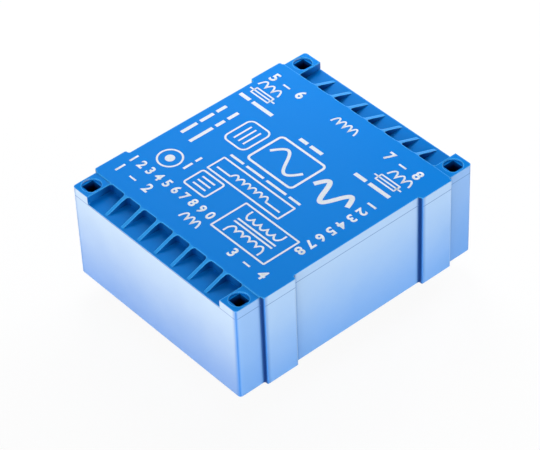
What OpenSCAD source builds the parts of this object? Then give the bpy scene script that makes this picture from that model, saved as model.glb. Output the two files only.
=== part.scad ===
// Flat potted transformer for a printed circuit board.
// A flat core of U and I sheets carries a primary coil and a secondary coil, whose formers hold the
// pins. A moulded housing with a row of pockets at each end covers it all, and is filled with
// potting compound from below.
// X runs from the primary end to the secondary end, Z points up, and Z = 0 is the lower rim of
// the housing, which sits on the board. The origin is in the middle of the pin pattern.
// The core is a standard size, so the coils, the pins and the housing take their places from it.

/* [Core] */
// Width of a leg, and of a yoke
leg_w = 10; // [9:0.1:11]
// Width of the window between the legs
window_w = 10; // [9:0.1:12]
// Length of the window along the legs
window_l = 20; // [18:0.1:24]
// Thickness of one sheet
sheet_t = 0.47; // [0.4:0.01:0.6]
// Gap between one sheet and the next
sheet_gap = 0.03; // [0.02:0.01:0.1]
// Number of sheets in the stack
sheet_count = 15; // [11:1:19]
// Gap where the U sheets meet the I sheets
butt_gap = 0.05; // [0.02:0.01:0.2]
// Gap between the legs' outer sides and the potting
core_play = 0.05; // [0.02:0.01:0.1]

/* [Coil formers] */
// Play between a leg and its coil former
former_play = 0.15; // [0.1:0.05:0.3]
// Thickness of the walls of a coil former
former_wall = 0.8; // [0.6:0.05:1.1]
// Thickness of the end flanges
flange_t = 0.9; // [0.6:0.05:1.2]
// Thickness of the wall between the two chambers
partition_t = 0.8; // [0.5:0.05:1.5]
// How far the flanges stand out past the tape
flange_rim = 0.25; // [0.15:0.05:0.5]
// Play of a coil former between the yokes
flange_play = 0.1; // [0.05:0.05:0.3]
// Height of the terminal bar
bar_h = 3; // [2:0.1:4]
// Wall of the terminal bar outside the pins
bar_wall = 0.8; // [0.6:0.05:1]
// Length of the terminal bar past the middle of its last pin
bar_end = 1.4; // [1:0.1:1.7]

/* [Windings] */
// Build of the primary windings
primary_build = 2.5; // [1.8:0.1:3]
// Build of the secondary windings
secondary_build = 2.4; // [1.8:0.1:3]
// Corner radius of the windings
winding_r = 1.6; // [1:0.1:2]
// Thickness of the insulating tape
tape_t = 0.12; // [0.06:0.02:0.3]
// Diameter of the primary lead wires
primary_lead_d = 0.3; // [0.2:0.05:0.4]
// Diameter of the secondary lead wires
secondary_lead_d = 0.45; // [0.3:0.05:0.5]

/* [Pins] */
// Diameter of the free end of a pin
pin_d = 0.8; // [0.6:0.05:1]
// Diameter of a pin where it is held by the terminal bar
shank_d = 1.2; // [1.05:0.05:1.4]
// How far that thicker part stands out of the potting
shank_out = 0.2; // [0.1:0.05:0.4]
// Length of a pin under the rim of the housing
pin_l = 4; // [3:0.1:6]
// Length of the tapered tip
pin_tip = 0.3; // [0.2:0.05:0.6]
// Distance from the wider coil former to the middle of a pin
pin_gap = 1.16; // [1.16:0.02:2]
// Distance from one pin to the next in a row
pin_pitch = 10; // [8:0.1:10.5]
// Thickness of the solder round a pin
solder_t = 0.55; // [0.5:0.01:0.6]
// Height of a solder joint
solder_h = 1.5; // [1.2:0.1:2.5]
// Length of a pin above its solder joint
pin_over = 0.5; // [0.3:0.1:1.5]

/* [Housing] */
// Distance from the middle of a pin to the end of the body
pin_from_end = 6.5; // [6.2:0.1:10]
// Gap between the yokes of the core and the long walls
side_play = 0.1; // [0.05:0.05:1]
// Gap between the wider coil former and the top
top_play = 1.06; // [0.5:0.02:3]
// Radius of the upright edges at the corners
corner_r = 0.6; // [0.3:0.1:0.8]
// Thickness under the printed face
top_t = 1.6; // [1.2:0.1:2.4]
// Thickness of the two end walls
end_wall = 1.5; // [1.2:0.1:1.8]
// Thickness of the two long walls
side_wall = 1.1; // [0.8:0.05:1.4]

/* [Raised pads on the long walls] */
// How far a pad stands out from its wall
pad_rise = 0.8; // [0.4:0.1:1.2]
// Width of a pad along the wall
pad_w = 6.9; // [4:0.1:8]
// Distance from the middle of a pad to the end of the body
pad_from_end = 8.85; // [7:0.05:12]

/* [Pocket rows] */
// Number of pockets in a row
pocket_count = 8; // [6:1:9]
// Depth of the pockets under the printed face
pocket_depth = 1.7; // [1:0.1:2.2]
// Length of the pockets from the end of the body inwards
pocket_l = 5.15; // [4.6:0.05:5.8]
// Thickness of the ribs between the pockets
rib_t = 0.7; // [0.5:0.05:1]
// Distance from the foot of a rib to the end of the body
rib_foot = 0.5; // [0.2:0.1:1]
// Radius in the inner corners of the pockets
pocket_r = 0.6; // [0.3:0.1:0.8]

/* [Corner blocks] */
// How far the top of a block lies under the printed face
block_drop = 0.15; // [0.1:0.05:0.4]
// Side of the square screw hole
hole_s = 2.35; // [2:0.05:2.8]
// Distance from the end of the body to the middle of a screw hole
hole_from_end = 2.5; // [2.3:0.05:3]
// Distance from the long wall to the middle of a screw hole
hole_from_side = 2.05; // [1.9:0.05:2.5]
// Diameter of the round lead-in of a screw hole
lead_in_d = 3.5; // [3.2:0.1:3.7]
// Depth of the round lead-in
lead_in_depth = 0.35; // [0.2:0.05:0.8]
// Width of the block beside the lead-in
lead_in_rim = 0.2; // [0.1:0.05:0.8]
// Thickness of the wall round a screw hole inside the housing
post_wall = 0.9; // [0.7:0.05:1.1]

/* [Potting] */
// How far the face of the potting lies above the board
pot_recess = 0.8; // [0.4:0.1:1.5]
// Thickness of the potting under the wider coil former
pot_cover = 1.06; // [0.5:0.02:3]

/* [Hidden] */
$fn = 40;

// Overshoot of a cut past the face that it opens
cut = 1;
// Clearance between parts that touch
touch = 0.02;

blue = [0.03, 0.45, 0.88];
cast_black = [0.09, 0.1, 0.12];
steel = [0.55, 0.56, 0.58];
former_white = [0.86, 0.85, 0.8];
copper = [0.72, 0.36, 0.18];
tape_yellow = [0.9, 0.72, 0.2];
tin = [0.82, 0.83, 0.85];

// Core
core_w = 2 * leg_w + window_w;
core_l = 2 * leg_w + window_l;
sheet_pitch = sheet_t + sheet_gap;
stack_h = sheet_count * sheet_pitch;
leg_x = (window_w + leg_w) / 2;

// Coil formers, with the legs of the core along Y
tube_in_w = leg_w + 2 * former_play;
tube_in_h = stack_h + 2 * former_play;
tube_w = tube_in_w + 2 * former_wall;
tube_h = tube_in_h + 2 * former_wall;
former_l = window_l - 2 * flange_play;
chamber_end = former_l / 2 - flange_t;
chamber_l = chamber_end - partition_t / 2;
chamber_y = (chamber_end + partition_t / 2) / 2;

// Distance from the middle of a leg to the outside of a winding, of its tape and of its flange
function winding_reach(build) = tube_w / 2 + touch + build;
function tape_reach(build) = winding_reach(build) + tape_t;
function flange_reach(build) = tape_reach(build) + flange_rim;
// The same distance up or down, where the tube is lower than it is wide
function reach_up(reach) = reach - (tube_w - tube_h) / 2;

// The wider of the two coils sets the height of the core and the place of the pins
coil_reach = flange_reach(max(primary_build, secondary_build));
bar_z = pot_recess + pot_cover;
core_z = bar_z + reach_up(coil_reach);
pin_x = leg_x + coil_reach + pin_gap;

// Terminal bars, pins, solder and leads
bar_top = bar_z + bar_h;
bar_x_out = pin_x + shank_d / 2 + bar_wall;
bar_half_l = 1.5 * pin_pitch + bar_end;
solder_d = shank_d + 2 * solder_t;
solder_z = bar_top + touch;
solder_taper = solder_h / 4;
lead_z = solder_z + solder_h / 2;
shank_z = pot_recess - shank_out;
pin_top = solder_z + solder_h + pin_over;

// Distance of a lead wire from the middle of its pin
function lead_offset(wire_d) = (shank_d + wire_d) / 2 + touch;
// Place of a pin along its row, numbered from 0 to 3
function pin_y(index) = (1.5 - index) * pin_pitch;

// Housing
body_l = 2 * (pin_x + pin_from_end);
body_w = core_l + 2 * (side_play + side_wall);
body_h = core_z + reach_up(coil_reach) + top_play + top_t;
pad_x = body_l / 2 - pad_from_end;
pad_recess_w = pad_w - 2 * side_wall;
block_w = hole_from_side + lead_in_d / 2 + lead_in_rim;
row_w = body_w - 2 * block_w;
pocket_x = body_l / 2 - pocket_l;
pocket_pitch = row_w / pocket_count;
floor_z = body_h - pocket_depth;
ceiling_z = body_h - top_t;
row_ceiling_z = floor_z - end_wall;
row_ceiling_x = pocket_x - end_wall;
hole_x = body_l / 2 - hole_from_end;
hole_y = body_w / 2 - hole_from_side;
post_x = hole_x - hole_s / 2 - post_wall;
post_y = hole_y - hole_s / 2 - post_wall;
cavity_x = body_l / 2 - end_wall;
cavity_y = body_w / 2 - side_wall;

module rounded_rect(width, height, radius) {
    square([width - 2 * radius, height], center = true);
    square([width, height - 2 * radius], center = true);
    for (x = [-1, 1], y = [-1, 1])
        translate([x * (width / 2 - radius), y * (height / 2 - radius)])
            circle(radius);
}

// Repeats what is made for the corner at +X and +Y in all four corners
module at_corners() {
    for (x = [0, 1], y = [0, 1])
        mirror([x, 0, 0])
            mirror([0, y, 0])
                children();
}

// Outside of the housing before its top is cut
module housing_block() {
    linear_extrude(body_h) {
        rounded_rect(body_l, body_w, corner_r);
        for (x = [-pad_x, pad_x])
            translate([x, 0])
                square([pad_w, body_w + 2 * pad_rise], center = true);
    }
}

// Space inside the housing, lower under the pocket rows, and closed round the screw holes
module cavity() {
    difference() {
        translate([0, 0, -cut]) {
            linear_extrude(cut + row_ceiling_z)
                square([2 * cavity_x, 2 * cavity_y], center = true);
            linear_extrude(cut + ceiling_z)
                square([2 * row_ceiling_x, 2 * cavity_y], center = true);
            for (x = [-pad_x, pad_x])
                translate([x, 0])
                    linear_extrude(cut + row_ceiling_z)
                        square([pad_recess_w, 2 * (cavity_y + pad_rise)], center = true);
        }
        at_corners()
            translate([post_x, post_y, -2 * cut])
                cube([body_l, body_w, body_h + 4 * cut]);
    }
}

// Plan of one pocket, open towards +X, from y_low to y_high
module pocket_plan(y_low, y_high) {
    translate([pocket_x + pocket_r, y_low])
        square([pocket_l + cut, y_high - y_low]);
    translate([pocket_x, y_low + pocket_r])
        square([pocket_l, y_high - y_low - 2 * pocket_r]);
    for (y = [y_low + pocket_r, y_high - pocket_r])
        translate([pocket_x + pocket_r, y])
            circle(pocket_r);
}

// Row of pockets at the +X end, with ribs that slope down to the end of the body
module pocket_row() {
    for (index = [0 : pocket_count - 1]) {
        low = index * pocket_pitch - row_w / 2;
        y_low = index == 0 ? low : low + rib_t / 2;
        y_high = index == pocket_count - 1 ? low + pocket_pitch : low + pocket_pitch - rib_t / 2;
        translate([0, 0, floor_z])
            linear_extrude(pocket_depth + cut)
                pocket_plan(y_low, y_high);
    }
    rotate([90, 0, 0])
        linear_extrude(row_w, center = true)
            polygon([
                [pocket_x, body_h],
                [body_l / 2 - rib_foot, floor_z],
                [body_l / 2 + cut, floor_z],
                [body_l / 2 + cut, body_h + cut],
                [pocket_x, body_h + cut]
            ]);
}

// Cuts in a corner block: its lower top, the square hole and the round lead-in
module corner_cuts() {
    translate([pocket_x, row_w / 2, body_h - block_drop])
        cube([pocket_l + cut, block_w + cut, block_drop + cut]);
    translate([hole_x - hole_s / 2, hole_y - hole_s / 2, -cut])
        cube([hole_s, hole_s, body_h + 2 * cut]);
    translate([hole_x, hole_y, body_h - block_drop - lead_in_depth])
        cylinder(d = lead_in_d, h = lead_in_depth + block_drop + cut);
}

module housing() {
    color(blue)
        difference() {
            housing_block();
            cavity();
            for (turn = [0, 180])
                rotate([0, 0, turn])
                    pocket_row();
            at_corners()
                corner_cuts();
        }
}

// One U sheet, with its yoke at -Y
module u_plan() {
    difference() {
        translate([-core_w / 2, -core_l / 2])
            square([core_w, core_l - leg_w - butt_gap / 2]);
        translate([-window_w / 2, -window_l / 2])
            square([window_w, window_l + cut]);
    }
}

// One I sheet, which closes the U at +Y
module i_plan() {
    translate([-core_w / 2, window_l / 2 + butt_gap / 2])
        square([core_w, leg_w - butt_gap / 2]);
}

// Stacks a sheet, turned round in every other layer so that the joints overlap
module sheet_stack() {
    for (layer = [0 : sheet_count - 1])
        translate([0, 0, core_z - stack_h / 2 + (layer + 0.5) * sheet_pitch - sheet_t / 2])
            rotate([0, 0, layer % 2 == 0 ? 0 : 180])
                linear_extrude(sheet_t)
                    children();
}

module u_sheets() {
    color(steel)
        sheet_stack()
            u_plan();
}

module i_sheets() {
    color(steel)
        sheet_stack()
            i_plan();
}

// Moves what is made round the Y axis to the leg on the primary side
module on_leg() {
    translate([-leg_x, 0, core_z])
        rotate([90, 0, 0])
            children();
}

// Turns what is made on the primary side round to the secondary side
module secondary_side() {
    rotate([0, 0, 180])
        children();
}

// Flange or partition of a coil former, seen along the leg
module flange_plan(reach) {
    square([2 * reach, 2 * reach_up(reach)], center = true);
}

// Coil former on the primary side: tube, flanges, partition and terminal bar
module former(build) {
    reach = flange_reach(build);
    difference() {
        union() {
            on_leg() {
                linear_extrude(former_l, center = true)
                    square([tube_w, tube_h], center = true);
                linear_extrude(partition_t, center = true)
                    flange_plan(reach);
                for (end = [-1, 1])
                    translate([0, 0, end * (former_l - flange_t) / 2])
                        linear_extrude(flange_t, center = true)
                            flange_plan(reach);
            }
            translate([-bar_x_out, -bar_half_l, bar_z])
                cube([bar_x_out - leg_x - reach, 2 * bar_half_l, bar_h]);
        }
        on_leg()
            linear_extrude(former_l + 2 * cut, center = true)
                square([tube_in_w, tube_in_h], center = true);
        for (index = [0 : 3])
            translate([-pin_x, pin_y(index), bar_z - cut])
                cylinder(d = shank_d + 2 * touch, h = bar_h + 2 * cut);
    }
}

module primary_former() {
    color(former_white)
        former(primary_build);
}

module secondary_former() {
    color(former_white)
        secondary_side()
            former(secondary_build);
}

// Outline of what is wound on a former, at one distance from the leg's middle
module wound_outline(reach, radius) {
    rounded_rect(2 * reach, 2 * reach_up(reach), radius);
}

// Winding on the primary side, in the chamber at +Y (side 1) or at -Y (side -1)
module winding(build, side) {
    on_leg()
        translate([0, 0, -side * chamber_y])
            linear_extrude(chamber_l - 2 * touch, center = true)
                difference() {
                    wound_outline(winding_reach(build), winding_r);
                    square([tube_w + 2 * touch, tube_h + 2 * touch], center = true);
                }
}

module primary_winding(side) {
    color(copper)
        winding(primary_build, side);
}

module secondary_winding(side) {
    color(copper)
        secondary_side()
            winding(secondary_build, side);
}

// Tape round both windings of one former, with holes for the lead wires
module tapes(build, wire_d) {
    difference() {
        on_leg()
            for (side = [-1, 1])
                translate([0, 0, side * chamber_y])
                    linear_extrude(chamber_l - 2 * touch, center = true)
                        difference() {
                            wound_outline(tape_reach(build), winding_r + tape_t);
                            wound_outline(winding_reach(build) + touch / 2, winding_r + touch / 2);
                        }
        leads(build, wire_d + 2 * touch);
    }
}

module primary_tapes() {
    color(tape_yellow)
        tapes(primary_build, primary_lead_d);
}

module secondary_tapes() {
    color(tape_yellow)
        secondary_side()
            tapes(secondary_build, secondary_lead_d);
}

// Straight wire along X from x_from to x_to
module wire_x(x_from, x_to, wire_d) {
    translate([min(x_from, x_to), 0, 0])
        rotate([0, 90, 0])
            cylinder(d = wire_d, h = abs(x_to - x_from));
}

// Straight wire along Y from y_from to y_to
module wire_y(y_from, y_to, wire_d) {
    translate([0, max(y_from, y_to), 0])
        rotate([90, 0, 0])
            cylinder(d = wire_d, h = abs(y_to - y_from));
}

// Lead from a winding to an inner pin, straight out past the side of the pin
module inner_lead(index, start_x, wire_d, offset) {
    side = index < 2 ? 1 : -1;
    translate([0, pin_y(index) + side * offset, lead_z])
        wire_x(start_x, -pin_x, wire_d);
}

// Lead from a winding to an outer pin, out through the tape and then along the bar
module outer_lead(index, start_x, wire_d, offset) {
    side = index < 2 ? 1 : -1;
    start_y = side * (chamber_end - 2 * secondary_lead_d);
    run_x = -pin_x + offset;
    translate([0, start_y, lead_z])
        wire_x(start_x, run_x, wire_d);
    translate([run_x, start_y, lead_z])
        sphere(d = wire_d);
    translate([run_x, 0, lead_z])
        wire_y(start_y, pin_y(index), wire_d);
}

// The four leads of the primary side
module leads(build, wire_d) {
    start_x = -leg_x - winding_reach(build);
    offset = lead_offset(build == primary_build ? primary_lead_d : secondary_lead_d);
    for (index = [1, 2])
        inner_lead(index, start_x, wire_d, offset);
    for (index = [0, 3])
        outer_lead(index, start_x, wire_d, offset);
}

module primary_leads() {
    color(copper)
        leads(primary_build, primary_lead_d);
}

module secondary_leads() {
    color(copper)
        secondary_side()
            leads(secondary_build, secondary_lead_d);
}

// Solder round the top of each pin of the primary side
module solder_row(build, wire_d) {
    difference() {
        for (index = [0 : 3])
            translate([-pin_x, pin_y(index), solder_z])
                rotate_extrude()
                    polygon([
                        [shank_d / 2 + touch, 0],
                        [solder_d / 2, solder_taper],
                        [solder_d / 2, solder_h - solder_taper],
                        [shank_d / 2 + touch, solder_h]
                    ]);
        leads(build, wire_d);
    }
}

module solder_joints() {
    color(tin) {
        solder_row(primary_build, primary_lead_d);
        secondary_side()
            solder_row(secondary_build, secondary_lead_d);
    }
}

// Pin at the place index of the primary row: tapered tip, free end and thicker shank
module row_pin(index) {
    translate([-pin_x, pin_y(index), 0])
        rotate_extrude()
            polygon([
                [0, -pin_l],
                [pin_d / 4, -pin_l],
                [pin_d / 2, pin_tip - pin_l],
                [pin_d / 2, shank_z],
                [shank_d / 2, shank_z],
                [shank_d / 2, pin_top],
                [0, pin_top]
            ]);
}

// Pins 1 to 4 are on the primary side, and 5 to 8 on the secondary side
module pin(number) {
    color(tin)
        if (number <= 4)
            row_pin(number - 1);
        else
            secondary_side()
                row_pin(number - 5);
}

// Space that the coil, the bar, the leads and the pins of the primary side take in the potting
module coil_space(build, wire_d) {
    reach = flange_reach(build);
    offset = lead_offset(wire_d);
    channel = wire_d + 2 * touch;
    on_leg()
        linear_extrude(former_l, center = true)
            flange_plan(reach);
    translate([-bar_x_out, -bar_half_l, bar_z])
        cube([bar_x_out - leg_x - reach, 2 * bar_half_l, bar_h]);
    for (index = [0 : 3])
        translate([-pin_x, pin_y(index), 0]) {
            cylinder(d = shank_d, h = pin_top);
            translate([0, 0, bar_top])
                cylinder(d = solder_d, h = solder_h + 2 * touch);
        }
    for (index = [1, 2])
        translate([-pin_x, pin_y(index) - channel / 2, lead_z - channel / 2])
            translate([0, (index < 2 ? 1 : -1) * offset, 0])
                cube([pin_x - leg_x - reach + touch, channel, channel]);
    for (side = [-1, 1]) {
        start_y = chamber_end - 2 * secondary_lead_d;
        translate([0, side * (start_y + pin_y(0)) / 2, lead_z])
            translate([-pin_x + offset, 0, 0])
                cube([channel, pin_y(0) - start_y + channel, channel], center = true);
        translate([-pin_x + offset, side * start_y - channel / 2, lead_z - channel / 2])
            cube([pin_x - offset - leg_x - reach + touch, channel, channel]);
    }
}

module potting() {
    color(cast_black)
        difference() {
            cavity();
            translate([-body_l, -body_w, -2 * cut])
                cube([2 * body_l, 2 * body_w, 2 * cut + pot_recess]);
            translate([0, 0, core_z])
                cube([core_w + 2 * core_play, core_l, stack_h], center = true);
            coil_space(primary_build, primary_lead_d);
            secondary_side()
                coil_space(secondary_build, secondary_lead_d);
        }
}

housing();
potting();
u_sheets();
i_sheets();
primary_former();
secondary_former();
primary_winding(1);  // primary_winding_a
primary_winding(-1);  // primary_winding_b
secondary_winding(1);  // secondary_winding_a
secondary_winding(-1);  // secondary_winding_b
primary_tapes();
secondary_tapes();
primary_leads();
secondary_leads();
solder_joints();
for (number = [1:8])
    pin(number);
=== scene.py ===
import math

import bmesh
import bpy
from mathutils import Matrix, Vector


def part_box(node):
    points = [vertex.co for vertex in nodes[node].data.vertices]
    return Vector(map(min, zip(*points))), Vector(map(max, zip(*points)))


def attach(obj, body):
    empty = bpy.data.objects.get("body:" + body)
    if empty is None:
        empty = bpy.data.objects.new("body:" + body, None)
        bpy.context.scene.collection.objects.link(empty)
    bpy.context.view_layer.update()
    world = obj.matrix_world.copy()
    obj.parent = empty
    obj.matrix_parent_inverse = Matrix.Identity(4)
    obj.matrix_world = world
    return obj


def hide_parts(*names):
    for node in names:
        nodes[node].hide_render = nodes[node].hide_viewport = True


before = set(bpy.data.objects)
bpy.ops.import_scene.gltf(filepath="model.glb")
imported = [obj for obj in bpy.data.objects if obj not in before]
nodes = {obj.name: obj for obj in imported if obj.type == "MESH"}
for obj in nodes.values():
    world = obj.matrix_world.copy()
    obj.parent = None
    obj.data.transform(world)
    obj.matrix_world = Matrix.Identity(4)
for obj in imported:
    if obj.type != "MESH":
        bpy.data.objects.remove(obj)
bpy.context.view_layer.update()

mm = 0.001
bodyLow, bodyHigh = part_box("housing")
bodyTop = bodyHigh.z
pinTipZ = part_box("pin_1")[0].z
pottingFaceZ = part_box("potting")[0].z
print("frame loaded:", len(nodes), "nodes")


class Signal:
    # an output socket that can be used in plain sums
    def __init__(self, paint, socket):
        self.paint = paint
        self.socket = socket

    def __add__(self, other):
        return self.paint.calc("ADD", self, other)

    def __radd__(self, other):
        return self.paint.calc("ADD", other, self)

    def __sub__(self, other):
        return self.paint.calc("SUBTRACT", self, other)

    def __rsub__(self, other):
        return self.paint.calc("SUBTRACT", other, self)

    def __mul__(self, other):
        return self.paint.calc("MULTIPLY", self, other)

    def __gt__(self, other):
        return self.paint.calc("GREATER_THAN", self, other)

    def __lt__(self, other):
        return self.paint.calc("LESS_THAN", self, other)

    def __abs__(self):
        return self.paint.calc("ABSOLUTE", self)


class Paint:
    # one material or world node tree, written as expressions
    def __init__(self, tree):
        self.tree = tree
        tree.nodes.clear()

    def node(self, kind, settings=None, sockets=None, out=0):
        made = self.tree.nodes.new(kind)
        for name, value in (settings or {}).items():
            setattr(made, name, value)
        for key, value in (sockets or {}).items():
            if isinstance(value, Signal):
                self.tree.links.new(value.socket, made.inputs[key])
            else:
                made.inputs[key].default_value = value
        return Signal(self, made.outputs[out]) if len(made.outputs) else made

    def calc(self, operation, *values):
        return self.node("ShaderNodeMath", {"operation": operation}, dict(enumerate(values)))

    def larger(self, first, second):
        return self.calc("MAXIMUM", first, second)

    def step(self, value, low, high):
        sockets = {"Value": value, "From Min": low, "From Max": high}
        return self.node("ShaderNodeMapRange", {"interpolation_type": "SMOOTHSTEP"}, sockets)

    def mix(self, factor, first, second):
        sockets = {"Factor": factor, 6: first, 7: second}
        return self.node("ShaderNodeMix", {"data_type": "RGBA"}, sockets, 2)

    def place(self):
        return self.node("ShaderNodeTexCoord", out="Object")

    def along(self, vector, axis):
        return self.node("ShaderNodeSeparateXYZ", sockets={0: vector}, out=axis)

    def noise(self, vector, size, detail=2.0):
        sockets = {"Vector": vector, "Scale": 1 / size, "Detail": detail}
        return self.node("ShaderNodeTexNoise", sockets=sockets)

    def bump(self, height, depth):
        return self.node("ShaderNodeBump", sockets={"Height": height, "Distance": depth})


def newMaterial(name, build):
    material = bpy.data.materials.new(name)
    material.use_nodes = True
    paint = Paint(material.node_tree)
    surface = build(paint)
    paint.node("ShaderNodeOutputMaterial", sockets={"Surface": surface})
    return material


def shade(paint, tone, rough, relief, others=None):
    sockets = {"Base Color": tone, "Roughness": rough, "Normal": relief}
    sockets.update(others or {})
    return paint.node("ShaderNodeBsdfPrincipled", sockets=sockets)


def meshFrom(shape, name):
    mesh = bpy.data.meshes.new(name)
    shape.to_mesh(mesh)
    shape.free()
    return mesh


def newPiece(name, mesh, material):
    piece = bpy.data.objects.new(name, mesh)
    bpy.context.scene.collection.objects.link(piece)
    mesh.materials.clear()
    mesh.materials.append(material)
    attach(piece, "root")
    return piece


mouldedBlue = {  # tones of the housing, among them painted reflection, painted shade and painted highlights, and sizes that follow its moulding
    "face": (0.001, 0.225, 0.76, 1),
    # painted shade for pad steps, pocket backs, pocket floors and beside the pads
    "recessShade": (0.0, 0.03, 0.16, 1),
    # painted shade in the screw holes, darker further down
    "hole": (0.0, 0.06, 0.26, 1),
    "deepShade": (0.0, 0.014, 0.07, 1),
    # a lighter painted tone for the open parts of pocket sides and for the lead-ins
    "pocketSide": (0.005, 0.15, 0.5, 1),
    # painted highlight on the sloping rib tops
    "slope": (0.03, 0.31, 0.82, 1),
    # painted highlight line along the rims
    "edge": (0.07, 0.47, 1.0, 1),
    # painted highlight on the pad edges facing +X
    "padEdgeHighlight": (0.56, 0.76, 0.97, 1),
    # painted shade on the rounded corners and bends, and on the lower side walls at the +X end
    "bendShade": (0.045, 0.21, 0.60, 1),
    # painted reflection on the outer walls, with painted shade low down: end walls, then side walls
    "endReflectionLow": (0.185, 0.34, 0.70, 1),
    "endReflectionHigh": (0.535, 0.66, 0.80, 1),
    "sideReflectionLow": (0.185, 0.42, 0.87, 1),
    "sideReflectionHigh": (0.448, 0.637, 0.885, 1),
    "seam": (0.08, 0.19, 0.50, 1),
    "faceRoughness": 0.34,
    "wallRoughness": 0.55,
    "mottleRoughness": 0.06,
    "specular": 0.2,
    "rounding": 0.22 * mm,
    "rim": 0.42 * mm,
    "rimOnEnd": 0.5 * mm,
    "grain": 0.12 * mm,
    "grainDepth": 0.004 * mm,
    "mottle": 5 * mm,
    "mottleShift": 4 * mm,
    # the height range over which the painted reflection on the walls grows
    "fadeUnder": 4 * mm,
    "fadeOver": 2 * mm,
    # where and how much painted shade falls on the lower side walls towards the +X end
    "farShadeFrom": 14 * mm,
    "farShadeShare": 0.3,
    "seamBelowTop": 1.85 * mm,
    "seamHalf": 0.13 * mm,
    "seamShare": 0.85,
    "seamRelief": 4,
    "padRise": 0.8 * mm,
    "padMiddle": 17.65 * mm,
    "padHalf": 3.45 * mm,
    # painted shadow beside the pads, and painted shade and highlight on the pads' edges
    "padShade": 0.95 * mm,
    "padShare": 0.7,
    "padShadowFrom": 0.35,
    "padShadowShare": 0.9,
    "cornerFade": 0.7 * mm,
    "cornerLength": 5.4 * mm,
    # share of painted shade on the side walls near the corners
    "cornerShade": 0.45,
    # share and widths of painted shade on the corner bends
    "cornerShare": 0.8,
    "bendOnEnd": 1.1 * mm,
    "bendOnSide": 0.6 * mm,
    "leadInDepth": 0.5 * mm,
    "pocketLength": 5.15 * mm,
    "pocketDepth": 1.7 * mm,
    "pocketPitch": 4.3 * mm,
    "pocketCount": 8,
    "pocketSlack": 0.05 * mm,
    # where the painted shade in a pocket fades towards its front and its back
    "pocketMouth": 0.8 * mm,
    "pocketBack": 2.2 * mm,
    "ribShadeFrom": 0.3 * mm,
    "ribShadeTo": 1.6 * mm,
    "ribShadeShare": 0.4,
    # shares of painted shade on the pocket floors
    "hollowShare": 0.6,
    "hollowLeast": 0.1,
    "turnFrom": 0.75,
    "turnTo": 0.98,
    "curveFrom": 0.9,
    "lineFrom": 0.86,
    "straight": 0.99,
}


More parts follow.
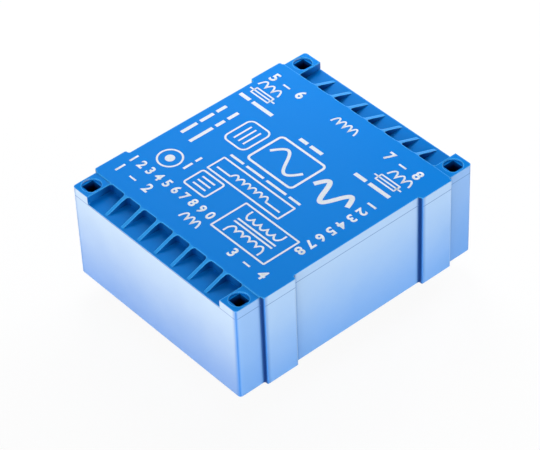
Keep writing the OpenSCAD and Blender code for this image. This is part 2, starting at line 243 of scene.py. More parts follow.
def blueMoulding(paint):
    v = mouldedBlue
    place = paint.place()
    facing = paint.node("ShaderNodeNewGeometry", out="Normal")
    rounded = paint.node("ShaderNodeBevel", {"samples": 4}, {"Radius": v["rounding"]})
    rimmed = paint.node("ShaderNodeBevel", {"samples": 6}, {"Radius": v["rim"]})
    endX, wallY = bodyHigh.x, bodyHigh.y - v["padRise"]
    signedX, signedY, height = (paint.along(place, axis) for axis in "XYZ")
    x, y = abs(signedX), abs(signedY)
    facingX, facingY, facingZ = (paint.along(facing, axis) for axis in "XYZ")
    towardX, towardY = abs(facingX), abs(facingY)
    depth = bodyTop - height
    mottle = paint.noise(place, v["mottle"], 3.0)
    grain = paint.noise(place, v["grain"], 1.0)

    # painted reflection: the outer walls are painted pale, paler towards the top, and darker
    # towards the bottom as painted shade
    onEnd = paint.step(x, endX - v["cornerFade"], endX)
    onSide = paint.step(y, wallY - v["cornerFade"], wallY)
    endWall = onEnd * paint.step(towardX, v["turnFrom"], v["turnTo"])
    sideWall = onSide * paint.step(towardY, v["turnFrom"], v["turnTo"])
    wall = paint.larger(endWall, sideWall)
    shifted = height + (mottle - 0.5) * v["mottleShift"]
    rise = paint.step(shifted, bodyLow.z - v["fadeUnder"], bodyTop + v["fadeOver"])
    # painted shade: the side walls stay darker near the corners
    corner = onSide * (x > endX - v["cornerLength"])
    rise = rise * (1 - corner * (1 - endWall) * v["cornerShade"])
    end = paint.mix(rise, v["endReflectionLow"], v["endReflectionHigh"])
    side = paint.mix(rise, v["sideReflectionLow"], v["sideReflectionHigh"])
    # painted shade on the lower side walls towards the +X end
    farShade = sideWall * paint.step(signedX, v["farShadeFrom"], endX)
    side = paint.mix(farShade * (1 - rise) * v["farShadeShare"], side, v["bendShade"])
    wallReflectionAndShade = paint.mix(endWall, side, end)

    # painted shade on the soft bends at the corners and pads, a painted highlight on pad edges
    # facing +X, and painted shadow beside the pads
    proud = y > wallY + v["padRise"] * 0.5
    atCorner = (x > endX - v["cornerFade"]) * (y > wallY - v["cornerFade"])
    bendShadeAndHighlight = paint.mix(proud * (facingX > 0), v["bendShade"], v["padEdgeHighlight"])
    acrossPad = signedX - paint.calc("SIGN", signedX) * v["padMiddle"]
    fromPad = abs(acrossPad) - v["padHalf"]
    # painted shadow on the wall beside each pad, darkest next to it
    padShadow = (1 - paint.step(fromPad, 0.0, v["padShade"])) * (1 - proud) * sideWall
    wallReflectionAndShade = paint.mix(padShadow, wallReflectionAndShade, v["bendShade"])
    padShadowCore = paint.step(padShadow, v["padShadowFrom"], 1.0) * v["padShadowShare"]
    wallReflectionAndShade = paint.mix(padShadowCore, wallReflectionAndShade, v["recessShade"])
    # painted shade on the rounded corners and on the pad edges facing -X
    padStart = (1 - paint.step(acrossPad + v["padHalf"], 0.0, v["padShade"])) * proud
    padFinish = (1 - paint.step(v["padHalf"] - acrossPad, 0.0, v["padShade"] * 0.5)) * proud
    endBend = endWall * paint.step(y, wallY - v["bendOnEnd"], wallY)
    sideBend = sideWall * paint.step(x, endX - v["bendOnSide"], endX)
    cornerBend = paint.larger(endBend, sideBend) * v["cornerShare"]
    wallReflectionAndShade = paint.mix(paint.larger(padStart * v["padShare"], cornerBend), wallReflectionAndShade, v["bendShade"])
    # painted highlight on the pad edges facing +X
    wallReflectionAndShade = paint.mix(padFinish * v["padShare"], wallReflectionAndShade, v["padEdgeHighlight"])

    # the pocket rows, with painted shade at the back of a pocket and beside its ribs, lighter where
    # a pocket opens to the front
    backX = endX - v["pocketLength"]
    rowHalf = v["pocketPitch"] * v["pocketCount"] / 2 + v["pocketSlack"]
    inRow = (x > backX - v["rounding"]) * (y < rowHalf)
    inPitch = paint.calc("FRACT", signedY * (1 / v["pocketPitch"]) + 0.5)
    fromRib = abs(inPitch - 0.5) * v["pocketPitch"]
    forward = paint.step(x, backX, endX - v["pocketMouth"])
    openness = paint.step(fromRib, v["ribShadeFrom"], v["ribShadeTo"])
    lit = paint.larger(forward, openness * v["ribShadeShare"])
    pocketTone = paint.mix(lit, v["recessShade"], v["pocketSide"])
    # painted shade on the pocket floors near the back
    inner = 1 - paint.step(x, backX, backX + v["pocketBack"])
    low = depth > v["pocketDepth"] * 0.8
    hollow = inRow * low * (inner * (1 - openness) * v["hollowShare"] + v["hollowLeast"])

    # uprights: painted shade on pad steps and in pockets, and in screw holes, darker further down
    # painted shade in the screw holes, darker further down
    sunken = paint.step(depth, v["leadInDepth"], v["leadInDepth"] * 5)
    holeTone = paint.mix(sunken, v["hole"], v["deepShade"])
    inBlock = (x > backX) * (1 - inRow) * (1 - (onEnd + onSide > 0.5))
    upright = paint.mix(inBlock, v["recessShade"], holeTone)
    leadIn = inBlock * (depth < v["leadInDepth"] * 0.98)
    upright = paint.mix(leadIn, upright, v["pocketSide"])
    upright = paint.mix(inRow, upright, pocketTone)
    # painted shade and painted highlight on the rounded corners and pad edges
    curved = 1 - paint.step(paint.larger(towardX, towardY), v["curveFrom"], v["straight"])
    upright = paint.mix(paint.larger(proud, atCorner) * curved, upright, bendShadeAndHighlight)

    # the top, with painted shade on pocket floors near the back, a painted highlight on its slopes,
    # and a painted highlight line along each rim
    level = paint.larger(paint.step(facingZ, 0.3, 0.8), facingZ < -0.5)
    sloping = (facingZ > 0.5) * (towardX > 0.2)
    # the pocket floors get painted shade near the back
    top = paint.mix(hollow, v["face"], v["recessShade"])
    tone = paint.mix(level, upright, paint.mix(sloping, top, v["slope"]))
    # painted highlight line along the rims, where the rounded normal turns away
    product = {"operation": "DOT_PRODUCT"}
    alike = paint.node("ShaderNodeVectorMath", product, {0: facing, 1: rimmed}, "Value")
    shallow = depth < v["leadInDepth"] * 0.9
    atRim = paint.larger(sloping, paint.larger(shallow, x > endX - v["rimOnEnd"]))
    upward = paint.along(rimmed, "Z") > 0.05
    edge = (1 - paint.step(alike, v["lineFrom"], v["straight"])) * upward * atRim
    tone = paint.mix(edge, tone, v["edge"])
    # the painted reflection and shade of the outer walls lie over the rest
    tone = paint.mix(wall, tone, wallReflectionAndShade)

    fromSeam = abs(depth - v["seamBelowTop"])
    seam = (1 - paint.step(fromSeam, 0.0, v["seamHalf"])) * wall
    tone = paint.mix(seam * v["seamShare"], tone, v["seam"])
    duller = wall * (v["wallRoughness"] - v["faceRoughness"])
    rough = v["faceRoughness"] + duller + (mottle - 0.5) * v["mottleRoughness"]
    relief = paint.node("ShaderNodeBump", None, {
        "Height": grain - seam * v["seamRelief"], "Distance": v["grainDepth"], "Normal": rounded,
    })
    return shade(paint, tone, rough, relief, {"Specular IOR Level": v["specular"]})


inkFinish = {
    "thin": (0.66, 0.76, 0.88, 1),
    "full": (0.84, 0.87, 0.9, 1),
    "speckle": 0.25 * mm,
    "grain": 0.12 * mm,
    "grainDepth": 0.003 * mm,
    "roughness": 0.55,
}


def whiteInk(paint):
    v = inkFinish
    place = paint.place()
    cover = paint.step(paint.noise(place, v["speckle"], 3.0), 0.2, 0.7)
    tone = paint.mix(cover, v["thin"], v["full"])
    relief = paint.bump(paint.noise(place, v["grain"]), v["grainDepth"])
    return shade(paint, tone, v["roughness"] - cover * 0.1, relief)


resinFinish = {
    "dark": (0.012, 0.013, 0.015, 1),
    "light": (0.03, 0.032, 0.036, 1),
    "dust": (0.12, 0.12, 0.12, 1),
    "dustShare": 0.25,
    "speck": 0.3 * mm,
    "flow": 6 * mm,
    "flowDepth": 0.15 * mm,
    "roughness": 0.22,
}


def castResin(paint):
    v = resinFinish
    place = paint.place()
    flow = paint.noise(place, v["flow"], 3.0)
    dust = paint.step(paint.noise(place, v["speck"], 2.0), 0.62, 0.75)
    tone = paint.mix(flow, v["dark"], v["light"])
    tone = paint.mix(dust * v["dustShare"], tone, v["dust"])
    return shade(paint, tone, v["roughness"] + dust * 0.3, paint.bump(flow, v["flowDepth"]))


steelFinish = {
    "dark": (0.30, 0.32, 0.36, 1),
    "light": (0.40, 0.40, 0.42, 1),
    "heat": 5 * mm,
    "rolling": 0.15 * mm,
    "stretch": 0.06,
    "rollingDepth": 0.004 * mm,
    "roughness": 0.38,
    "metallic": 0.85,
}


def rolledSteel(paint):
    v = steelFinish
    place = paint.place()
    scale = (1.0, v["stretch"], 1.0)
    stretched = paint.node("ShaderNodeMapping", sockets={"Vector": place, "Scale": scale})
    rolled = paint.noise(stretched, v["rolling"], 3.0)
    tone = paint.mix(paint.noise(place, v["heat"], 2.0), v["dark"], v["light"])
    relief = paint.bump(rolled, v["rollingDepth"])
    rough = v["roughness"] + rolled * 0.15
    return shade(paint, tone, rough, relief, {"Metallic": v["metallic"]})


formerFinish = {
    "dark": (0.74, 0.71, 0.62, 1),
    "light": (0.83, 0.81, 0.73, 1),
    "cloud": 3 * mm,
    "grain": 0.1 * mm,
    "grainDepth": 0.004 * mm,
    "roughness": 0.42,
}


def formerPlastic(paint):
    v = formerFinish
    place = paint.place()
    cloud = paint.noise(place, v["cloud"], 3.0)
    tone = paint.mix(cloud, v["dark"], v["light"])
    relief = paint.bump(paint.noise(place, v["grain"]), v["grainDepth"])
    return shade(paint, tone, v["roughness"] + cloud * 0.1, relief)


copperFinish = {
    "dark": (0.56, 0.17, 0.05, 1),
    "light": (0.70, 0.27, 0.09, 1),
    "age": 2 * mm,
    "turnPitch": 0.16 * mm,
    "turnDepth": 0.05 * mm,
    "roughness": 0.25,
    "metallic": 0.9,
}


def enamelledCopper(paint):
    v = copperFinish
    place = paint.place()
    turn = paint.calc("SINE", paint.along(place, "Y") * (math.tau / v["turnPitch"]))
    age = paint.noise(place, v["age"], 3.0)
    tone = paint.mix(age, v["dark"], v["light"])
    relief = paint.bump(turn, v["turnDepth"])
    rough = v["roughness"] + age * 0.12
    return shade(paint, tone, rough, relief, {"Metallic": v["metallic"]})


tapeFinish = {
    "dark": (0.78, 0.50, 0.05, 1),
    "light": (0.86, 0.62, 0.10, 1),
    "crease": 1.5 * mm,
    "creaseDepth": 0.05 * mm,
    "roughness": 0.24,
}


def polyesterTape(paint):
    v = tapeFinish
    crease = paint.noise(paint.place(), v["crease"], 4.0)
    tone = paint.mix(crease, v["dark"], v["light"])
    relief = paint.bump(crease, v["creaseDepth"])
    return shade(paint, tone, v["roughness"] + crease * 0.12, relief)


tinFinish = {
    "dark": (0.50, 0.50, 0.51, 1),
    "light": (0.63, 0.63, 0.62, 1),
    "flow": 0.7 * mm,
    "flowDepth": 0.02 * mm,
    "roughness": 0.2,
}


def brightTin(paint):
    v = tinFinish
    flow = paint.noise(paint.place(), v["flow"], 3.0)
    tone = paint.mix(flow, v["dark"], v["light"])
    relief = paint.bump(flow, v["flowDepth"])
    return shade(paint, tone, v["roughness"] + flow * 0.16, relief, {"Metallic": 1.0})


housingBlue = newMaterial("mouldedBlue", blueMoulding)
inkWhite = newMaterial("printedWhite", whiteInk)
nodeFinishes = {
    "potting_compound": newMaterial("castResin", castResin),
    "core_steel": newMaterial("rolledSteel", rolledSteel),
    "former_plastic": newMaterial("naturalPlastic", formerPlastic),
    "copper_wire": newMaterial("enamelledCopper", enamelledCopper),
    "insulating_tape": newMaterial("yellowTape", polyesterTape),
    "tinned_metal": newMaterial("brightTin", brightTin),
    "housing_plastic": housingBlue,
}
for node in nodes.values():
    for place in node.material_slots:
        place.material = nodeFinishes[place.material.name.split(".")[0]]
print("finishes made")


housingShape = {  # roundings and limits in mm and degrees
    "padRise": 0.8,
    "widest": 0.4,
    "upright": 0.35,
    "inner": 0.35,
    "foot": 0.12,
    "sharpAngle": 40,
    "longEdge": 5,
    "facetArea": 1.5,
    "near": 0.02,
    "cornerRadius": 0.6,
    "flatAngle": 0.3,
    "joinDistance": 0.001,
}


def roundingOf(edge):
    # radius in mm of one long edge of the moulding, by where the edge lies
    v = housingShape
    if math.degrees(edge.calc_face_angle(0)) < v["sharpAngle"]:
        return 0
    middle = (edge.verts[0].co + edge.verts[1].co) / 2 / mm
    along = (edge.verts[1].co - edge.verts[0].co).normalized()
    x, y, z = abs(middle.x), abs(middle.y), middle.z
    wallY = bodyHigh.y / mm - v["padRise"]
    near = v["near"]
    endX = bodyHigh.x / mm - v["cornerRadius"]
    if z < near and (y > wallY - near or x > endX - near):
        return v["foot"]
    if abs(along.z) > 0.9 and y > wallY - near and edge.calc_length() > v["longEdge"] * mm:
        return v["upright"] if edge.calc_face_angle_signed(0) > 0 else v["inner"]
    return 0


def makeHousing():
    v = housingShape
    shape = bmesh.new()
    shape.from_mesh(nodes["housing"].data)
    bmesh.ops.remove_doubles(shape, verts=shape.verts, dist=v["joinDistance"] * mm)
    flat = math.radians(v["flatAngle"])
    bmesh.ops.dissolve_limit(shape, angle_limit=flat, verts=shape.verts, edges=shape.edges)
    weight = shape.edges.layers.float.new("bevel_weight_edge")
    for edge in shape.edges:
        radius = roundingOf(edge)
        edge[weight] = radius / v["widest"]
        edge.smooth = radius > 0 or edge.calc_face_angle(0) < math.radians(v["sharpAngle"])
    for face in shape.faces:
        face.smooth = face.calc_area() < v["facetArea"] * mm * mm
    mesh = meshFrom(shape, "mouldedHousing")
    piece = newPiece("moulded_housing", mesh, housingBlue)
    rounding = piece.modifiers.new("edgeRounding", "BEVEL")
    rounding.limit_method = "WEIGHT"
    rounding.width = v["widest"] * mm
    rounding.segments = 3
    rounding.use_clamp_overlap = False
    shading = piece.modifiers.new("faceShading", "WEIGHTED_NORMAL")
    shading.keep_sharp = True
    shading.weight = 80
    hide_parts("housing")


makeHousing()
print("housing made")


printing = {  # sizes in mm
    "stroke": 0.36,
    "thickness": 0.016,
    "sink": 0.004,
    "boldness": 0.085,
    "capHeight": 0.73,
    "wordGap": 0.75,
    "curveSteps": 6,
    "ringSteps": 40,
    "waveSteps": 48,
    "humpSteps": 16,
    "humpRoundness": 0.7,
    "fuseHalf": 0.75,
    "fuseLead": 1.0,
    "fuseStroke": 0.85,
}
numberRows = [  # numbers, letter height, x and y of the first, step between, turn in degrees
    ("1\u20132", 2.1, -17.55, 19.3, 3.7, -90),
    ("3\u20134", 2.1, -17.5, -10.2, 3.7, -90),
    ("5\u20136", 2.2, 17.75, 19.4, 3.4, -90),
    ("7\u20138", 2.2, 17.75, -10.2, 3.5, -90),
    ("1234567890", 1.9, -14.35, 19.5, 2.25, -90),
    ("12345678", 2.0, 6.8, -17.5, 2.3, 180),
]
wordRows = [  # word lengths, bar width, start x and y, turn in degrees
    ((3.6, 3.0, 2.2), 0.72, -4.1, 19.25, 0),
    ((5.2, 2.0, 2.4), 0.72, -4.6, 16.4, 0),
    ((3.4, 4.4, 5.0, 2.8), 0.5, -1.75, 8.8, -90),
    ((2.0, 3.0), 0.75, 9.65, 3.8, -90),
    ((2.6, 5.2), 0.78, 10.3, 20.3, -90),
    ((2.8, 5.0), 0.78, 10.35, -9.4, -90),
    ((2.0, 1.4), 0.5, -10.0, 11.6, 0),
]
frameRows = [  # low and high x, low and high y, corner radius, stroke times
    (-6.8, -3.0, -9.1, 9.0, 0.1, 1),
    (-15.8, -8.0, -15.8, -2.5, 0.1, 1),
    (-0.2, 7.9, -4.9, 6.4, 0.8, 1.3),
    (0.3, 7.0, 8.0, 13.4, 1.2, 1),
    (-12.2, -7.7, 3.4, 9.0, 0.5, 1),
]
lineRows = [  # x and y of one end, then of the other
    (-11.0, 4.6, -11.0, 7.8),
    (-9.95, 4.6, -9.95, 7.8),
    (-8.9, 4.6, -8.9, 7.8),
    (1.6, 9.5, 5.7, 9.5),
    (1.6, 10.7, 5.7, 10.7),
    (1.6, 11.9, 5.7, 11.9),
    (-5.5, 8.0, -5.5, 4.5),
    (-5.5, -4.5, -5.5, -8.1),
    (-12.3, -4.4, -12.3, -13.9),
    (-11.5, -4.4, -11.5, -13.9),
    (-14.2, -4.9, -15.2, -4.9),
    (-14.2, -13.4, -15.2, -13.4),
    (-9.6, -4.9, -8.6, -4.9),
    (-9.6, -13.4, -8.6, -13.4),
]
ringRows = [(-9.9, 15.3, 2.25, 1), (-9.9, 15.3, 0.45, 2.5)]  # x, y, radius, stroke times
waveRows = [  # x, first and last y, swing, periods, stroke
    (3.85, 5.0, -3.5, 2.3, 1, 0.6),
    (3.5, -6.6, -14.9, 2.3, 1.5, 0.95),
]
fuseRows = [(12.75, 20.4, 14.0), (12.75, -11.7, -18.2)]  # x, first and last y
coilRows = [  # humps, hump radius, stroke, start x and y, turn in degrees, stretch
    (3, 0.72, 0.36, -18.3, 2.9, -90, 2.2),
    (4, 0.72, 0.36, 16.8, 3.8, -90, 2.2),
    (3, 0.85, 0.36, 14.3, 20.1, -90, 1.8),
    (3, 0.85, 0.36, 14.3, -13.2, -90, 1.8),
    (6, 0.75, 0.36, -5.5, 4.5, -90, 1.4),
    (5, 0.85, 0.36, -14.2, -4.9, -90, 1.2),
    (5, 0.85, 0.36, -9.6, -13.4, 90, 1.2),
]


def turned(x, y, degrees):
    return Matrix.Translation((x, y, 0)) @ Matrix.Rotation(math.radians(degrees), 4, "Z")


def addRibbon(ink, points, width, closed=False, place=Matrix()):
    # a flat band of even width along a run of points
    count = len(points)
    sides = []
    for i, (x, y) in enumerate(points):
        before = points[i - 1] if closed or i else points[i]
        after = points[(i + 1) % count] if closed or i < count - 1 else points[i]
        inward = Vector((x - before[0], y - before[1]))
        onward = Vector((after[0] - x, after[1] - y))
        inward = (inward if inward.length else onward).normalized()
        onward = (onward if onward.length else inward).normalized()
        across = Vector((-(inward.y + onward.y), inward.x + onward.x)).normalized()
        reach = width / 2 / max(0.3, across.dot(Vector((-inward.y, inward.x))))
        pair = [(x + across.x * k, y + across.y * k, 0) for k in (reach, -reach)]
        sides.append([ink.verts.new(place @ Vector(point)) for point in pair])
    for i in range(count if closed else count - 1):
        (a, b), (c, d) = sides[i], sides[(i + 1) % count]
        ink.faces.new((a, b, d, c))


def roundedBox(lowX, highX, lowY, highY, corner):
    steps = printing["curveSteps"]
    points = []
    turns = ((highX, highY, 0), (lowX, highY, 90), (lowX, lowY, 180), (highX, lowY, 270))
    for x, y, start in turns:
        centreX = x - math.copysign(corner, x - (lowX + highX) / 2)
        centreY = y - math.copysign(corner, y - (lowY + highY) / 2)
        for i in range(steps + 1):
            angle = math.radians(start + 90 * i / steps)
            points.append((centreX + corner * math.cos(angle), centreY + corner * math.sin(angle)))
    return points


def ring(x, y, radius):
    steps = printing["ringSteps"]
    angles = [math.tau * i / steps for i in range(steps)]
    return [(x + radius * math.cos(a), y + radius * math.sin(a)) for a in angles]


def wave(x, fromY, toY, swing, periods):
    steps = printing["waveSteps"]
    points = []
    for i in range(steps + 1):
        share = i / steps
        aside = swing * math.sin(math.tau * periods * share)
        points.append((x + aside, fromY + (toY - fromY) * share))
    return points


def addFuse(ink, middleX, topY, bottomY):
    # the plain drawing sign for a fuse: a box with its wire through it
    v = printing
    stroke, half, lead = v["stroke"] * v["fuseStroke"], v["fuseHalf"], v["fuseLead"]
    addRibbon(ink, [(middleX, topY), (middleX, bottomY)], stroke)
    corners = roundedBox(middleX - half, middleX + half, bottomY + lead, topY - lead, 0.05)
    addRibbon(ink, corners, stroke, True)


def raiseInk(ink):
    # flat faces become thin closed solids on the top of the housing
    v = printing
    raised = bmesh.ops.extrude_face_region(ink, geom=ink.faces[:])
    for item in raised["geom"]:
        if isinstance(item, bmesh.types.BMVert):
            item.co.z += v["thickness"]
    for vertex in ink.verts:
        vertex.co.z += bodyTop / mm - v["sink"]
        vertex.co *= mm
    bmesh.ops.recalc_face_normals(ink, faces=ink.faces)
    return meshFrom(ink, "ink")


def makeSymbols():
    v = printing
    ink = bmesh.new()
    for words, width, x, y, turn in wordRows:
        start = 0
        for word in words:
            bar = [(start + i * word / 4, 0) for i in range(5)]
            addRibbon(ink, bar, width, place=turned(x, y, turn))
            start += word + v["wordGap"]
    stroke = v["stroke"]
    for lowX, highX, lowY, highY, corner, times in frameRows:
        addRibbon(ink, roundedBox(lowX, highX, lowY, highY, corner), stroke * times, True)
    for x, y, radius, times in ringRows:
        addRibbon(ink, ring(x, y, radius), stroke * times, True)
    for x1, y1, x2, y2 in lineRows:
        addRibbon(ink, [(x1, y1), (x2, y2)], stroke)
    for *path, width in waveRows:
        addRibbon(ink, wave(*path), width)
    for fuse in fuseRows:
        addFuse(ink, *fuse)
    newPiece("printed_signs", raiseInk(ink), inkWhite)


def makeNumbers():
    v = printing
    ink = bmesh.new()
    for numbers, height, x, y, step, turn in numberRows:
        for i, number in enumerate(numbers):
            curve = bpy.data.curves.new("number", "FONT")
            curve.body = number
            curve.size = height / v["capHeight"]
            curve.offset = v["boldness"]
            curve.resolution_u = 4
            curve.align_x = "CENTER"
            holder = bpy.data.objects.new("number", curve)
            mesh = bpy.data.meshes.new_from_object(holder)
            shift = Matrix.Translation((i * step, -height / 2, 0))
            mesh.transform(turned(x, y, turn) @ shift)
            ink.from_mesh(mesh)
            bpy.data.objects.remove(holder)
            bpy.data.curves.remove(curve)
            bpy.data.meshes.remove(mesh)
    bmesh.ops.remove_doubles(ink, verts=ink.verts, dist=0.001)
    newPiece("printed_numbers", raiseInk(ink), inkWhite)


class Tree:
    # a Geometry Nodes tree with named inputs
    def __init__(self, name, inputs):
        self.group = bpy.data.node_groups.new(name, "GeometryNodeTree")
        self.addSocket("Geometry", "OUTPUT", "Geometry")
        self.keys = {label: self.addSocket(label, "INPUT", kind) for label, kind in inputs.items()}
        self.start = self.group.nodes.new("NodeGroupInput")
        self.finish = self.group.nodes.new("NodeGroupOutput")

    def addSocket(self, label, side, kind):
        interface = self.group.interface
        made = interface.new_socket(label, in_out=side, socket_type="NodeSocket" + kind)
        return made.identifier

    def input(self, label):
        return self.start.outputs[label]

    def calc(self, operation, first, second=1.0):
        return self.node("ShaderNodeMath", {"operation": operation}, {0: first, 1: second})

    def node(self, kind, settings=None, sockets=None, out=0):
        made = self.group.nodes.new(kind)
        for name, value in (settings or {}).items():
            setattr(made, name, value)
        for key, value in (sockets or {}).items():
            if isinstance(value, bpy.types.NodeSocket):
                self.group.links.new(value, made.inputs[key])
            else:
                made.inputs[key].default_value = value
        return made.outputs[out]

    def end(self, geometry, material):
        whole = self.node("GeometryNodeRealizeInstances", sockets={"Geometry": geometry})
        finish = {"Geometry": whole, "Material": material}
        dressed = self.node("GeometryNodeSetMaterial", sockets=finish)
        self.group.links.new(dressed, self.finish.inputs["Geometry"])

    def grow(self, values):
        # the tree's result as a plain mesh
        holder = bpy.data.objects.new("grown", bpy.data.meshes.new("seed"))
        bpy.context.scene.collection.objects.link(holder)
        growing = holder.modifiers.new("grow", "NODES")
        growing.node_group = self.group
        for label, value in values.items():
            growing[self.keys[label]] = value
        depsgraph = bpy.context.evaluated_depsgraph_get()
        mesh = bpy.data.meshes.new_from_object(holder.evaluated_get(depsgraph))
        holder.modifiers.remove(growing)
        bpy.data.objects.remove(holder)
        return mesh


def humpTree():
    # a run of humps in one stroke, the plain drawing sign for a winding
    tree = Tree("windingSign", {
        "Humps": "Int", "Radius": "Float", "Stretch": "Float", "Stroke": "Float",
        "Height": "Float",
    })
    calc, steps = tree.calc, printing["humpSteps"]
    points = calc("ADD", calc("MULTIPLY", tree.input("Humps"), steps), 1.0)
    pitch = calc("DIVIDE", calc("MULTIPLY", tree.input("Radius"), 2.0), steps)
    line = tree.node("GeometryNodeMeshLine", {"mode": "OFFSET"}, {
        "Count": points, "Offset": tree.node("ShaderNodeCombineXYZ", sockets={"X": pitch}),
    })
    turn = calc("MULTIPLY", tree.node("GeometryNodeInputIndex"), math.pi / steps)
    swell = calc("POWER", calc("ABSOLUTE", calc("SINE", turn)), printing["humpRoundness"])
    rise = calc("MULTIPLY", calc("MULTIPLY", swell, tree.input("Radius")), tree.input("Stretch"))
    humps = tree.node("GeometryNodeSetPosition", sockets={
        "Geometry": line, "Offset": tree.node("ShaderNodeCombineXYZ", sockets={"Y": rise}),
    })
    run = tree.node("GeometryNodeMeshToCurve", sockets={"Mesh": humps})
    level = tree.node("GeometryNodeSetCurveNormal", {"mode": "Z_UP"}, {"Curve": run})
    band = tree.node("GeometryNodeCurvePrimitiveQuadrilateral", {"mode": "RECTANGLE"}, {
        "Width": tree.input("Stroke"), "Height": tree.input("Height"),
    })
    sign = tree.node("GeometryNodeCurveToMesh", sockets={
        "Curve": level, "Profile Curve": band, "Fill Caps": True,
    })
    tree.end(sign, inkWhite)
    return tree


def makeCoilSigns():
    v = printing
    tree = humpTree()
    signs = bmesh.new()
    for humps, radius, stroke, x, y, turn, stretch in coilRows:
        mesh = tree.grow({
            "Humps": humps, "Radius": radius, "Stretch": stretch, "Stroke": stroke,
            "Height": v["thickness"],
        })
        raised = Matrix.Translation((0, 0, bodyTop / mm - v["sink"] + v["thickness"] / 2))
        mesh.transform(Matrix.Scale(mm, 4) @ raised @ turned(x, y, turn))
        signs.from_mesh(mesh)
        bpy.data.meshes.remove(mesh)
    bmesh.ops.recalc_face_normals(signs, faces=signs.faces)
    newPiece("printed_coils", meshFrom(signs, "coilSigns"), inkWhite)


makeSymbols()
makeNumbers()
makeCoilSigns()
print("print made")


# the potting's skin creeps up the walls, and a collar of it stands round each pin
pottingSkin = {
    "cavityX": 25.0,
    "cavityY": 20.1,
    "postX": 21.925,
    "postY": 17.075,
    "padFrom": 15.3,
    "padTo": 20.0,
    "padY": 20.9,
    "creep": 0.32,
    "creepLength": 0.42,
    "sag": 0.035,
    "sagLength": 2,
    "step": 1.6,
    "closest": 0.4,
    "clear": 0.01,
    "thickness": 0.02,
    "lineOffsets": (0.0, 0.08, 0.18, 0.32, 0.52, 0.85, 1.4),
}


def gridLines(walls, low, high):
    # places of grid lines, close together at each wall and even between them
    v = pottingSkin
    near = [wall + way * offset for wall in walls for offset in v["lineOffsets"] for way in (-1, 1)]
    lines = {round(sign * line, 4) for line in near for sign in (-1, 1)}
    count = round((high - low) / v["step"])
    spaced = [low + (high - low) * i / count for i in range(count + 1)]
    apart = v["step"] * v["closest"]
    lines |= {round(x, 4) for x in spaced if min(abs(x - other) for other in lines) > apart}
    return sorted(x for x in lines if low <= x <= high)


def inCavity(x, y):
    v = pottingSkin
    if abs(x) > v["cavityX"] or abs(x) > v["postX"] and abs(y) > v["postY"]:
        return False
    return abs(y) < v["cavityY"] or v["padFrom"] < abs(x) < v["padTo"] and abs(y) < v["padY"]


def wallDistance(x, y):
    # distance in mm to the nearest wall, from the straight pieces of the cavity's outline
    v = pottingSkin
    x, y = abs(x), abs(y)
    outline = [
        (v["cavityX"], 0), (v["cavityX"], v["postY"]), (v["postX"], v["postY"]),
        (v["postX"], v["cavityY"]), (v["padTo"], v["cavityY"]), (v["padTo"], v["padY"]),
        (v["padFrom"], v["padY"]), (v["padFrom"], v["cavityY"]), (0, v["cavityY"]),
    ]
    away = []
    for (x1, y1), (x2, y2) in zip(outline, outline[1:]):
        nearX = min(max(x, min(x1, x2)), max(x1, x2))
        nearY = min(max(y, min(y1, y2)), max(y1, y2))
        away.append(math.hypot(x - nearX, y - nearY))
    return min(away)


def swell(x, y):
    # a slow, uneven wave
    slow = math.sin(x * 0.31 + 0.7) * math.sin(y * 0.37 + 1.1)
    return slow + 0.6 * math.sin(x * 0.83 - y * 0.61)


def makeSkin():
    v = pottingSkin
    face = pottingFaceZ / mm
    wallsX = (v["cavityX"], v["postX"], v["padFrom"], v["padTo"])
    xs = gridLines(wallsX, -v["cavityX"], v["cavityX"])
    ys = gridLines((v["cavityY"], v["postY"], v["padY"]), -v["padY"], v["padY"])
    skin = bmesh.new()
    made = {}

    def corner(x, y):
        if (x, y) not in made:
            away = wallDistance(x, y)
            drop = v["creep"] * math.exp(-away / v["creepLength"])
            clearOfWall = 1 - math.exp(-away / v["sagLength"])
            drop += v["sag"] * (0.5 + 0.3 * swell(x, y)) * clearOfWall
            made[x, y] = skin.verts.new((x, y, face - v["clear"] - drop))
        return made[x, y]

    for x1, x2 in zip(xs, xs[1:]):
        for y1, y2 in zip(ys, ys[1:]):
            if inCavity((x1 + x2) / 2, (y1 + y2) / 2):
                square = ((x1, y1), (x1, y2), (x2, y2), (x2, y1))
                skin.faces.new([corner(x, y) for x, y in square])
    raised = bmesh.ops.extrude_face_region(skin, geom=skin.faces[:])
    for item in raised["geom"]:
        if isinstance(item, bmesh.types.BMVert):
            item.co.z = face + v["thickness"]
    bmesh.ops.recalc_face_normals(skin, faces=skin.faces)
    for vertex in skin.verts:
        vertex.co *= mm
    for part in skin.faces:
        part.smooth = part.normal.z < -0.2
    mesh = meshFrom(skin, "pottingSkin")
    newPiece("potting_skin", mesh, nodeFinishes["potting_compound"])


collar = {
    "inner": 0.57,
    "outer": 1.35,
    "creep": 0.17,
    "sunk": 0.03,
    "hollowing": 2.4,
    "sides": 36,
    "segments": 9,
    "rows": 2,
    "rowPins": 4,
}


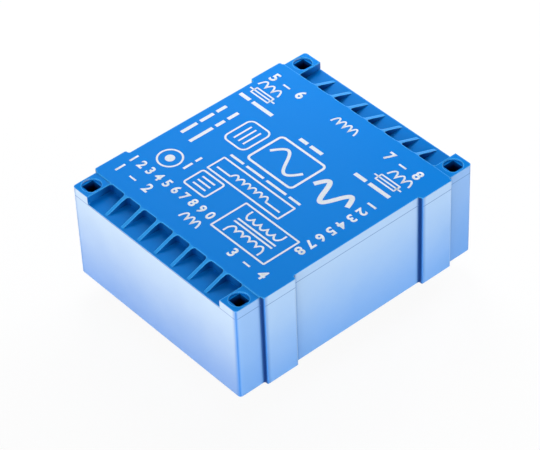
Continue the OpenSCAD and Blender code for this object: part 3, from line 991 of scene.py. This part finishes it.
def collarTree():
    # rings of potting round every pin: a disc whose middle is drawn out along the pin
    tree = Tree("pinCollars", {
        "Rows": "Int", "Row Pins": "Int", "Row Gap": "Float", "Row Length": "Float",
        "Inner": "Float", "Outer": "Float", "Creep": "Float",
    })
    calc = tree.calc
    drum = tree.node("GeometryNodeMeshCylinder", sockets={
        "Vertices": collar["sides"], "Side Segments": collar["segments"],
        "Radius": 1.0, "Depth": 1.0,
    })
    place = tree.node("GeometryNodeInputPosition")
    x, y, z = (tree.node("ShaderNodeSeparateXYZ", sockets={0: place}, out=i) for i in range(3))
    share = calc("ADD", z, 0.5)
    slim = calc("MULTIPLY", share, calc("SUBTRACT", tree.input("Inner"), tree.input("Outer")))
    radius = calc("ADD", slim, tree.input("Outer"))
    drawn = calc("MULTIPLY", calc("POWER", share, collar["hollowing"]), tree.input("Creep"))
    moved = tree.node("ShaderNodeCombineXYZ", sockets={
        "X": calc("MULTIPLY", x, radius), "Y": calc("MULTIPLY", y, radius),
        "Z": calc("MULTIPLY", drawn, -1.0),
    })
    ring = tree.node("GeometryNodeSetPosition", sockets={"Geometry": drum, "Position": moved})
    spots = tree.node("GeometryNodeMeshGrid", sockets={
        "Size X": tree.input("Row Gap"), "Size Y": tree.input("Row Length"),
        "Vertices X": tree.input("Rows"), "Vertices Y": tree.input("Row Pins"),
    })
    rings = tree.node("GeometryNodeInstanceOnPoints", sockets={"Points": spots, "Instance": ring})
    tree.end(rings, nodeFinishes["potting_compound"])
    return tree


def makeCollars():
    v = collar
    pins = [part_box("pin_%d" % (i + 1)) for i in range(v["rows"] * v["rowPins"])]
    middles = [(low + high) / 2 / mm for low, high in pins]
    values = {
        "Rows": v["rows"], "Row Pins": v["rowPins"],
        "Row Gap": max(m.x for m in middles) - min(m.x for m in middles),
        "Row Length": max(m.y for m in middles) - min(m.y for m in middles),
        "Inner": v["inner"], "Outer": v["outer"], "Creep": v["creep"] + v["sunk"],
    }
    mesh = collarTree().grow(values)
    lift = Matrix.Translation((0, 0, pottingFaceZ / mm + v["sunk"]))
    mesh.transform(Matrix.Scale(mm, 4) @ lift)
    shape = bmesh.new()
    shape.from_mesh(mesh)
    bpy.data.meshes.remove(mesh)
    bmesh.ops.recalc_face_normals(shape, faces=shape.faces)
    for part in shape.faces:
        part.smooth = len(part.verts) == 4  # the round ends stay flat
    mesh = meshFrom(shape, "pinCollars")
    newPiece("pin_collars", mesh, nodeFinishes["potting_compound"])


makeSkin()
makeCollars()
print("potting made")


stage = {
    "floorHalf": 1.2,
    "floorTone": 0.95,
    "floorGlow": 0.93,
    "skyTone": (0.04, 0.04, 0.045, 1),
    "skyFade": 0.25,
    "lampAim": (0, 0, 0.01),
}


def pearlFloor(paint):
    camera, glossy, through = (
        paint.node("ShaderNodeLightPath", out="Is %s Ray" % kind)
        for kind in ("Camera", "Glossy", "Transmission"))
    seen = paint.larger(paint.larger(camera, glossy), through)
    tone = stage["floorTone"]
    cloth = paint.node("ShaderNodeBsdfDiffuse", sockets={"Color": (tone, tone, tone, 1)})
    glow = paint.node("ShaderNodeEmission", sockets={"Color": (1, 1, 1, 1), "Strength": 1.0})
    share = seen * stage["floorGlow"]
    lit = paint.node("ShaderNodeMixShader", sockets={0: share, 1: cloth, 2: glow})
    clear = paint.node("ShaderNodeBsdfTransparent")
    under = paint.node("ShaderNodeNewGeometry", out="Backfacing")
    return paint.node("ShaderNodeMixShader", sockets={0: under, 1: lit, 2: clear})


def makeFloor():
    half = stage["floorHalf"]
    mesh = bpy.data.meshes.new("floor")
    corners = [(-half, -half), (half, -half), (half, half), (-half, half)]
    mesh.from_pydata([(x, y, pinTipZ) for x, y in corners], [], [(0, 1, 2, 3)])
    floor = bpy.data.objects.new("floor", mesh)
    bpy.context.scene.collection.objects.link(floor)
    mesh.materials.append(newMaterial("pearlFloor", pearlFloor))


def makeSky():
    world = bpy.data.worlds.new("studio")
    world.use_nodes = True
    bpy.context.scene.world = world
    paint = Paint(world.node_tree)
    ray = paint.node("ShaderNodeTexCoord", out="Generated")
    height = paint.step(paint.along(ray, "Z"), 0.0, stage["skyFade"])
    seen = paint.node("ShaderNodeLightPath", out="Is Camera Ray")
    tone = paint.mix(height * (1 - seen), (1, 1, 1, 1), stage["skyTone"])
    sky = paint.node("ShaderNodeBackground", sockets={"Color": tone, "Strength": 1.0})
    paint.node("ShaderNodeOutputWorld", sockets={"Surface": sky})


lamps = {
    "overhead": {"at": (0.07, 0.11, 0.13), "size": 0.10, "power": 0.21},
    "secondaryEnd": {"at": (0.26, 0.05, 0.13), "size": 0.14, "power": 0.55},
    "primaryEnd": {"at": (-0.60, -0.10, 0.12), "size": 0.40, "power": 3.4},
    "front": {"at": (-0.20, -0.58, 0.13), "size": 0.40, "power": 2.5},
}


def makeLamp(name, at, size, power):
    light = bpy.data.lights.new(name, "AREA")
    light.shape = "SQUARE"
    light.size = size
    light.energy = power
    lamp = bpy.data.objects.new(name, light)
    bpy.context.scene.collection.objects.link(lamp)
    lamp.location = at
    lamp.visible_camera = False
    lamp.visible_glossy = False  # no lamp is mirrored as a pale veil on the top
    aim = Vector(stage["lampAim"]) - Vector(at)
    lamp.rotation_euler = aim.to_track_quat("-Z", "Y").to_euler()


shot = {
    "azimuth": -39.571,
    "elevation": 42.011,
    "roll": -2.525,
    "distance": 0.444732,
    "slide": -0.000779,
    "lift": 0.006105,
    "lens": 169.67,
    "sensor": 36.0,
    "near": 0.01,
}


def makeCamera():
    turn, rise, roll = (math.radians(shot[name]) for name in ("azimuth", "elevation", "roll"))
    flat = math.cos(rise)
    back = Vector((math.sin(turn) * flat, -math.cos(turn) * flat, math.sin(rise)))
    right = (-back).cross(Vector((0, 0, 1))).normalized()
    up = right.cross(-back)
    place = back * shot["distance"] + right * shot["slide"] + up * shot["lift"]
    rolledRight = right * math.cos(roll) + up * math.sin(roll)
    rolledUp = up * math.cos(roll) - right * math.sin(roll)
    camera = bpy.data.objects.new("camera", bpy.data.cameras.new("camera"))
    bpy.context.scene.collection.objects.link(camera)
    camera.data.lens = shot["lens"]
    camera.data.sensor_width = shot["sensor"]
    camera.data.clip_start = shot["near"]
    axes = Matrix((rolledRight, rolledUp, back)).transposed()
    camera.matrix_world = Matrix.Translation(place) @ axes.to_4x4()
    bpy.context.scene.camera = camera


makeFloor()
makeSky()
for name, values in lamps.items():
    makeLamp(name, **values)
makeCamera()
bpy.context.scene.view_settings.view_transform = "Standard"
print("stage, light and camera made")
